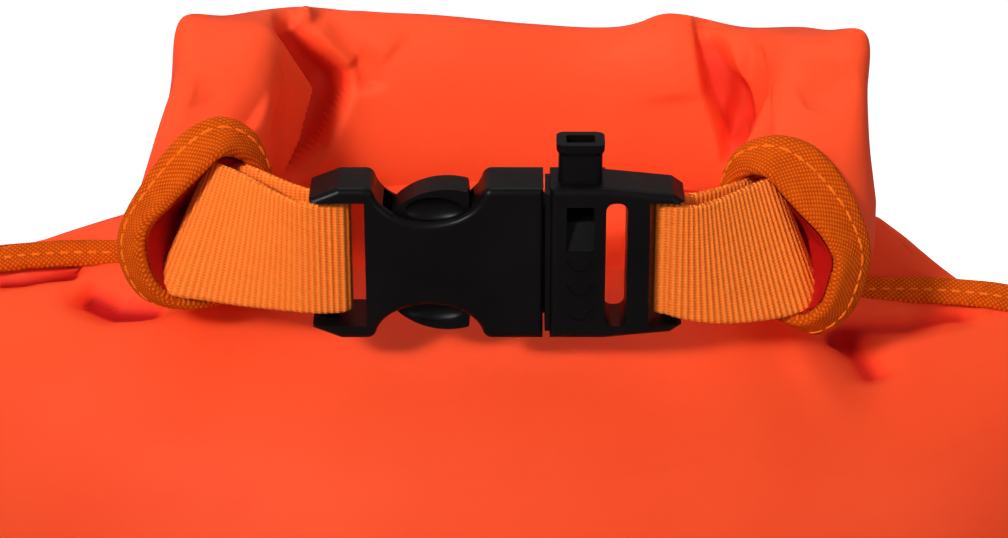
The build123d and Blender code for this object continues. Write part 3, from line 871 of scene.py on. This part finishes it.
def stitch_line(name, points, normals, body, lift, pitch=3.1, long=2.2, thick=0.30):
    """A row of short thread stitches along a line, joined in one mesh."""
    lengths = np.concatenate([[0], np.cumsum(np.linalg.norm(np.diff(points, axis=0), axis=1))])
    vertices, faces = [], []
    sides, rings = 8, 7
    for start in np.arange(pitch / 2, lengths[-1] - pitch, pitch):
        base = len(vertices)
        for ring in range(rings):
            t = ring / (rings - 1)
            place = start + long * t
            centre = np.array([np.interp(place, lengths, points[:, k]) for k in range(3)])
            out = np.array([np.interp(place, lengths, normals[:, k]) for k in range(3)])
            ahead = np.array([np.interp(place + 0.3, lengths, points[:, k]) for k in range(3)]) - centre
            ahead /= np.linalg.norm(ahead)
            out /= np.linalg.norm(out)
            side = np.cross(ahead, out)
            radius = thick * np.sqrt(max(1 - (2 * t - 1) ** 4, 0.02))
            sink = lift + 0.25 * thick * (1 - (2 * t - 1) ** 2) - 0.5 * thick * (2 * t - 1) ** 4
            for corner in range(sides):
                turn = 2 * pi * corner / sides
                offset = side * cos(turn) * radius + out * (sin(turn) * radius * 0.8 + sink)
                vertices.append((centre + offset) / METRE)
        for ring in range(rings - 1):
            for corner in range(sides):
                after = (corner + 1) % sides
                first = base + ring * sides
                faces.append((first + corner, first + after, first + sides + after, first + sides + corner))
        faces.append(tuple(base + corner for corner in reversed(range(sides))))
        faces.append(tuple(base + (rings - 1) * sides + corner for corner in range(sides)))
    mesh = bpy.data.meshes.new(name)
    mesh.from_pydata([tuple(v) for v in vertices], [], faces)
    mesh.polygons.foreach_set("use_smooth", [True] * len(mesh.polygons))
    piece = bpy.data.objects.new(name, mesh)
    bpy.context.collection.objects.link(piece)
    mesh.materials.append(use_material("thread"))
    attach(piece, body)
    return piece


# back and front edges of the curled tape on each ear, from its hidden inner end over the top,
# round the outside and under to its lower end
EAR_EDGES = {
    "left": (
        [(-48.4, -25.4, 407), (-48.2, -25.4, 416), (-49.4, -25.7, 422), (-52.3, -26.8, 427.3),
         (-57.5, -28.7, 430.2), (-63.4, -30.9, 428.8), (-68.5, -32.8, 424.3), (-74.0, -34.9, 416.6),
         (-77.4, -36.1, 410.1), (-78.6, -36.5, 404.6), (-77.8, -36.2, 399.8), (-75.8, -35.4, 395.6),
         (-73.0, -34.5, 393.0), (-69.2, -33.2, 391.8), (-64.2, -31.4, 392.0), (-58.5, -29.4, 393.6)],
        [(-49.8, -29.5, 407), (-49.8, -29.8, 415.0), (-51.4, -31.5, 420.6), (-53.8, -34.4, 423.4),
         (-57.0, -37.8, 424.4), (-60.2, -38.9, 421.6), (-64.2, -40.3, 418.0), (-67.8, -41.6, 414.8),
         (-71.2, -42.8, 412.0), (-72.8, -43.2, 408.2), (-72.6, -43.0, 403.6), (-71.4, -42.5, 399.4),
         (-69.4, -41.7, 396.2), (-66.2, -40.2, 393.8), (-61.8, -38.2, 392.8), (-57.5, -36.6, 393.4)],
    ),
    "right": (
        [(48.0, -25.0, 405), (48.2, -25.0, 413), (49.4, -25.5, 419.3), (52.4, -26.5, 423.6),
         (58.7, -28.9, 426.4), (64.9, -31.0, 425.6), (70.0, -32.9, 421.7), (74.1, -34.5, 415.6),
         (77.0, -35.6, 408.3), (78.0, -35.9, 402.8), (77.1, -35.6, 396.4), (74.9, -34.8, 390.6),
         (71.6, -33.6, 386.5), (68.0, -32.4, 384.9), (63.5, -30.9, 386.4), (57.0, -28.5, 389.5)],
        [(49.6, -29.0, 404), (49.6, -29.2, 411), (50.6, -30.8, 416.6), (52.8, -34.0, 419.6),
         (56.2, -37.1, 419.8), (59.0, -38.0, 416.8), (62.8, -39.4, 412.8), (66.8, -40.9, 409.0),
         (69.4, -41.9, 405.2), (70.2, -42.1, 402.4), (69.3, -41.8, 397.8), (68.2, -41.4, 394.0),
         (66.0, -40.6, 391.4), (63.0, -39.6, 390.2), (59.0, -38.2, 391.0), (55.5, -37.0, 393.5)],
    ),
}
EAR_TAPE_THICK = 3.4
EAR_ROWS = 150
EAR_STITCHES_AT = 0.36  # share of the tape's width from its back edge


def make_ear(side):
    """The tape round one curled end, its stitches and the fabric inside the curl."""
    body = side + "_end"
    back, front = (smooth_rows(edge, EAR_ROWS) for edge in EAR_EDGES[side])
    tape, normal = make_band(
        "ear_tape_" + side, back, front, EAR_TAPE_THICK, "tape", body, 18, 0.55
    )
    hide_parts("ear_binding_" + side)
    outward = normal * np.sign((normal * (back - back.mean(0))).sum(1).mean())
    line = back + (front - back) * EAR_STITCHES_AT
    stitches = slice(12, EAR_ROWS - 14)
    stitch_line(
        "ear_stitches_" + side,
        line[stitches],
        outward[stitches],
        body,
        lift=EAR_TAPE_THICK / 2,
        long=2.9,
    )
    # fabric inside the curl, running back into the roll and narrowing, coloured a darker red as painted
    # shade
    deeper = np.array([0, 14.0, 0.5])
    centre = front.mean(0)
    depth = np.linspace(0, 1, 22)[:, None, None]
    closed_front = front[None] + (centre - front)[None] * (0.05 + 0.75 * depth**1.6)
    inner = closed_front + deeper * depth
    painted_shade_lining = grid_object("curl_inside_" + side, inner, "painted_shade_lining", body)


# top and bottom edges of each front strap from the buckle outwards, then of the strap behind it
STRAPS = {
    "left": (
        [(-32.8, -50.0, 418.1), (-35.5, -50.2, 418.0), (-39.5, -49.4, 418.2), (-44.0, -46.6, 419.0),
         (-49.0, -42.6, 420.6), (-54.0, -38.6, 421.9), (-57.6, -35.4, 422.4), (-59.4, -31.5, 421.6),
         (-59.0, -26.0, 420.0)],
        [(-32.8, -46.5, 393.4), (-35.5, -46.7, 393.3), (-40.0, -46.4, 393.4), (-46.0, -44.6, 393.4),
         (-53.5, -43.0, 393.7), (-61.0, -41.6, 394.4), (-67.6, -40.8, 395.2), (-70.6, -37.4, 396.6),
         (-69.5, -28.0, 398.0)],
        [(-32.8, -45.4, 418.8), (-36.0, -44.8, 419.0), (-42.0, -40.8, 419.6), (-48.0, -35.6, 420.6),
         (-53.0, -31.0, 421.2), (-56.5, -26.0, 420.4)],
        [(-32.8, -41.9, 394.0), (-36.0, -41.4, 394.0), (-43.0, -38.8, 394.3), (-50.5, -35.6, 395.0),
         (-58.0, -32.4, 396.0), (-64.5, -27.5, 397.0)],
    ),
    "right": (
        [(34.8, -50.0, 418.1), (37.5, -50.2, 417.8), (41.0, -48.8, 417.4), (45.0, -45.6, 417.6),
         (49.5, -41.8, 418.4), (53.5, -38.2, 419.0), (56.6, -35.4, 419.2), (58.2, -31.5, 418.4),
         (57.8, -26.0, 417.0)],
        [(34.8, -46.5, 393.2), (37.5, -46.9, 392.4), (42.5, -46.2, 391.2), (49.0, -44.6, 390.4),
         (56.0, -42.2, 390.2), (61.8, -40.0, 390.6), (66.2, -37.6, 391.6), (68.4, -33.6, 392.8),
         (67.8, -28.0, 394.0)],
        [(34.8, -45.4, 418.8), (38.5, -44.8, 418.4), (44.0, -40.4, 418.2), (49.0, -35.8, 418.2),
         (52.8, -31.4, 418.2), (56.0, -26.0, 417.4)],
        [(34.8, -41.9, 394.0), (38.5, -41.6, 393.4), (45.0, -39.4, 392.6), (52.0, -36.2, 392.4),
         (58.0, -32.8, 392.8), (63.5, -27.5, 393.6)],
    ),
}
WEB_THICK = 1.5
RIB_PITCH = 1.22


def fold_rows(front_low, front_high, back_low, back_high, count):
    """The half turn of the webbing round the buckle's bar, for one edge pair."""
    rows = []
    toward = 1 if front_low[0] < 0 else -1
    for step in range(1, count):
        turn = pi * step / count
        reach = toward * 2.35 * sin(turn)
        low = (front_low + back_low) / 2 + (front_low - back_low) / 2 * cos(turn)
        high = (front_high + back_high) / 2 + (front_high - back_high) / 2 * cos(turn)
        rows.append((low + [reach, 0, 0], high + [reach, 0, 0]))
    return [row[0] for row in rows], [row[1] for row in rows]


def make_strap(side):
    """One loop of webbing: front layer, fold round the bar, and back layer."""
    front_high, front_low, back_high, back_low = (
        smooth_rows(edge, count) for edge, count in zip(STRAPS[side], (210, 210, 90, 90))
    )
    low_fold, high_fold = fold_rows(front_low[0], front_high[0], back_low[0], back_high[0], 26)
    low = np.vstack([front_low[::-1], low_fold, back_low])
    high = np.vstack([front_high[::-1], high_fold, back_high])
    grid, weave, normal = strap_grid(low, high, WEB_THICK, 64, 0.5)
    ribs = 0.11 * np.sin(weave[..., 0] * 2 * pi / RIB_PITCH)
    knots = 0.045 * np.sin(weave[..., 1] * 2 * pi / 0.8 + weave[..., 0] * 1.4)
    half = grid.shape[1] // 2
    face = np.concatenate([np.ones(half), -np.ones(half)])
    grid = grid + normal[:, None, :] * ((ribs + knots) * face)[..., None]
    piece = grid_object("strap_" + side, grid, "webbing", None, closed=True, weave=weave)
    cap_ends(piece, grid.shape[0], grid.shape[1])
    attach(piece, side + "_end")
    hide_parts("webbing_" + side)


TACK_X = 60.5
TACK_Y = -27.5
TACK_FOOT = 398.5
TACK_HEIGHT = 17.0
TACK_HALF_WIDTH = 1.6
TACK_CORNERS = 15


def make_tack(side):
    """Zigzag stitching through both strap layers, inside the ear."""
    sign = -1 if side == "left" else 1
    points = []
    for corner in range(TACK_CORNERS):
        share = corner / (TACK_CORNERS - 1)
        zigzag = TACK_HALF_WIDTH if corner % 2 else -TACK_HALF_WIDTH
        points.append((sign * (TACK_X + zigzag), TACK_Y, TACK_FOOT + TACK_HEIGHT * share))
    points = smooth_rows(points, 120)
    normals = np.tile([[-sign * 0.6, -0.8, 0.0]], (len(points), 1))
    piece = stitch_line("tack_stitches_" + side, points, normals, side + "_end", 0.0, 1.2, 1.1, 0.35)
    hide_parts("bar_tack_" + side)


SIDE_SEAM = [
    # x without its sign, y, z, and how far the tape leans forward (0 sideways to 1 forward)
    (74.0, 1.5, 391.0, 1.0),
    (84.0, 1.5, 391.2, 1.0),
    (94.0, 1.5, 391.2, 1.0),
    (104.0, 1.5, 390.6, 1.0),
    (113.0, 1.2, 389.2, 0.92),
    (121.0, 0.8, 386.2, 0.80),
    (129.5, 0.4, 380.0, 0.62),
    (135.6, 0.0, 369.5, 0.40),
    (139.2, 0.0, 352.0, 0.18),
    (140.2, 0.0, 325.0, 0.05),
    (140.2, 0.0, 250.0, 0.0),
    (140.2, 0.0, 150.0, 0.0),
    (140.2, 0.0, 60.0, 0.0),
    (140.0, 0.0, 18.0, 0.0),
    (138.6, 0.0, 7.5, 0.0),
    (137.8, 0.0, 3.8, 0.0),
]
SEAM_TAPE_WIDTH = 9.2
SEAM_TAPE_THICK = 3.0
SEAM_STITCHES_AT = 0.42
LAID_UPPER = (0.0, -2.4, 3.6)  # where the tape's edges lie over the shoulder, from the seam
LAID_LOWER = (0.0, -6.8, -1.0)


def make_side_tape(side):
    """Folded tape over one side seam, from under the roll to the base."""
    sign = -1 if side == "left" else 1
    rows = smooth_rows(SIDE_SEAM, 420)
    inner = np.stack([sign * rows[:, 0], rows[:, 1], rows[:, 2]], axis=1)
    inner = lower_right(inner)
    along = np.gradient(inner, axis=0)
    along /= np.linalg.norm(along, axis=1, keepdims=True)
    outward = np.stack([-along[:, 2] * sign, np.zeros(len(along)), along[:, 0] * sign], axis=1)
    outward *= np.sign(outward[:, 0:1] * sign + outward[:, 2:3])
    lean = rows[:, 3:4]
    ripple = 0.5 * np.sin(np.arange(len(inner)) / 17.0)[:, None]
    # half as wide where it meets the base
    foot = 1 - 0.5 * smoothstep(-rows[:, 2:3], -16.0, -4.0)
    stands = outward * (SEAM_TAPE_WIDTH + ripple) * foot
    outer = inner + stands * (1 - lean) + np.array([LAID_UPPER]) * lean
    low = inner - outward * 1.2 * (1 - lean) + np.array([LAID_LOWER]) * lean
    tape, normal = make_band(
        "side_tape_" + side, low, outer, SEAM_TAPE_THICK, "tape", "bag", 14, 0.6
    )
    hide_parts("side_binding_" + side)
    line = low + (outer - low) * SEAM_STITCHES_AT
    for face, facing in (("front", 1), ("back", -1)):
        outward_face = normal * facing * np.sign(-normal[:, 1:2])
        stitch_line(
            f"side_stitches_{face}_{side}",
            line[10:-8],
            outward_face[10:-8],
            "bag",
            SEAM_TAPE_THICK / 2 - 0.05,
        )


BASE_TAPE_INNER = [136.6, 70.6, 0]  # half widths in x and y
BASE_TAPE_OUTER = [142.6, 76.4, 0]
BASE_RIM = [137.5, 71.5, 0]


def make_base():
    """Base panel with its bound edge."""
    turn = np.linspace(0, 2 * pi, 361)
    ring = np.stack([np.cos(turn), np.sin(turn), np.zeros(361)], axis=1)
    low = ring * BASE_TAPE_INNER + [0, 0, 2.2]
    high = ring * BASE_TAPE_OUTER + [0, 0, 1.9]
    tape, _ = make_band("base_tape", low, high, 3.0, "tape", "bag", 12, 0.6)
    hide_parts("base_binding")
    upward = np.tile([[0.0, 0.0, 1.0]], (361, 1))
    stitch_line("base_stitches", low + (high - low) * 0.45, upward, "bag", 1.45)
    radius = np.linspace(0.0, 1.0, 40)[:, None, None]
    disc = ring[None, :-1] * BASE_RIM * radius
    disc[..., 2] = 0.9 + soft_noise(disc, 90.0, 21) * 0.25
    under = grid_object("base_fabric", disc, "fabric", "bag", closed=True, flip=True)
    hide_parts("base_panel")


# ------------------------------------------------------------------ carried-over CAD nodes


def dress_nodes():
    """Materials for the pieces that keep their CAD shape."""
    looks = {
        "buckle_plastic": "buckle",
        "stiffener_plastic": "strip",
    }
    slots = {entry["node"]: entry["material_slot"] for entry in frame["record"]["subparts"]}
    for name, node in frame["nodes"].items():
        look = looks.get(slots.get(name))
        if look is None:
            continue
        if not node.material_slots:
            node.data.materials.append(None)
        for material_slot in node.material_slots:
            material_slot.material = use_material(look)


make_camera()
make_stage()
dress_nodes()
make_base()
make_body()
make_roll()
for side in ("left", "right"):
    make_side_tape(side)
    make_ear(side)
    make_strap(side)
    make_tack(side)
